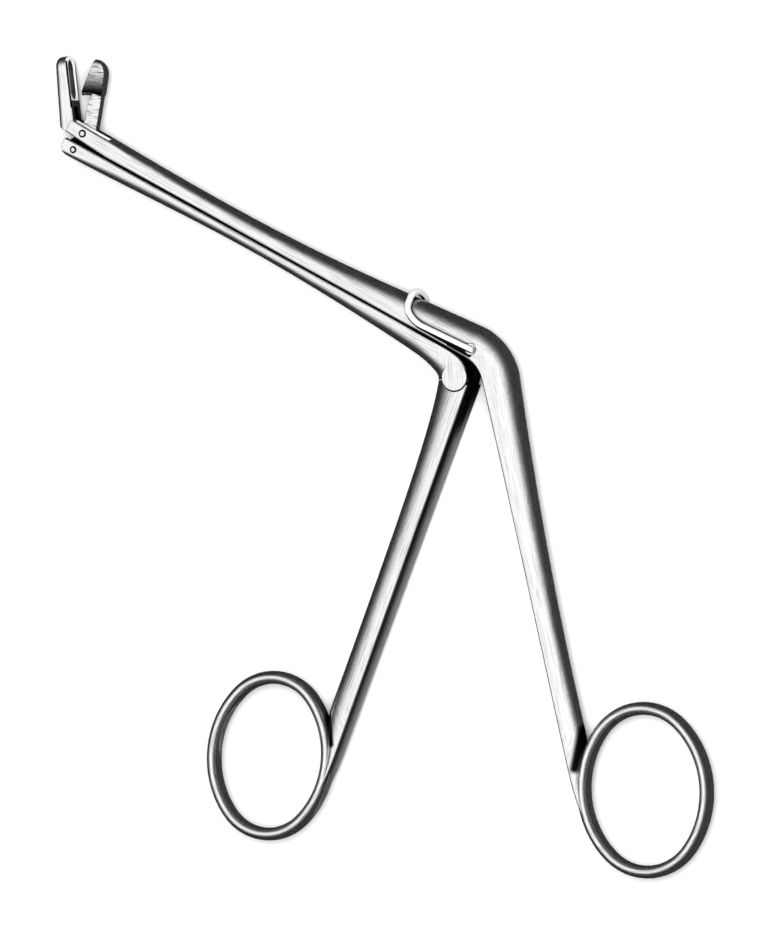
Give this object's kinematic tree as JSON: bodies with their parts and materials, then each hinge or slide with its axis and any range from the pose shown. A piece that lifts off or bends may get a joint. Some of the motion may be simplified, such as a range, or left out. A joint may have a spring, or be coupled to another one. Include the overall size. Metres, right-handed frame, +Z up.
{
  "type": "nasal forceps",
  "caption": "Nasal punch forceps with an angled shaft, a sliding rod, ring handles and a bent-up punch jaw; opens and closes, and its keeper lets it come apart.",
  "frame": {"origin": "the handle pivot's axis where it meets the far cheek of the bend, which the instrument lies on", "axes": "+X along the shaft from the jaws to the handles, +Y the side to which the jaws are bent up, +Z up, out of the side that carries the keeper"},
  "size_m": [0.204, 0.1292, 0.0093],
  "materials": {
    "polished_steel": "nickel plated and polished",
    "rivet_steel": "dressed flush and polished",
    "spring_wire": "hard-drawn wire, nickel plated"
  },
  "bodies": {
    "fixed_half": {"fixed_shaft": "polished_steel", "jaw_pivot_rivet": "rivet_steel"},
    "finger_handle": {"front_handle": "polished_steel"},
    "sliding_half": {"sliding_rod": "polished_steel", "jaw_link_rivet": "rivet_steel", "rod_link_pin": "rivet_steel"},
    "punch_jaw": {"moving_jaw": "polished_steel"},
    "keeper": {"handle_pivot_pin": "rivet_steel", "keeper_hook": "spring_wire"}
  },
  "joints": [
    {"name": "handle_close", "type": "hinge", "parent": "fixed_half", "child": "finger_handle", "pos_m": [0, 0, 0.0039], "axis": [0, 0, 1], "range_deg": [0, 16.3]},
    {"name": "rod_link", "type": "hinge", "parent": "finger_handle", "child": "sliding_half", "pos_m": [-0.00077, -0.00696, 0.0039], "axis": [0, 0, 1], "range_deg": [-16.5, 0]},
    {"name": "jaw_close", "type": "hinge", "parent": "fixed_half", "child": "punch_jaw", "pos_m": [-0.1, 0, 0.0039], "axis": [0, 0, 1], "range_deg": [0, 29]},
    {"name": "keeper_swing", "type": "hinge", "parent": "fixed_half", "child": "keeper", "pos_m": [0, 0, 0.0039], "axis": [0, 0, 1], "range_deg": [-100, 0]}
  ],
  "couplings": [
    {"joint": "rod_link", "follows": "handle_close", "ratio": -1.0078},
    {"joint": "jaw_close", "follows": "handle_close", "ratio": 1.777}
  ]
}
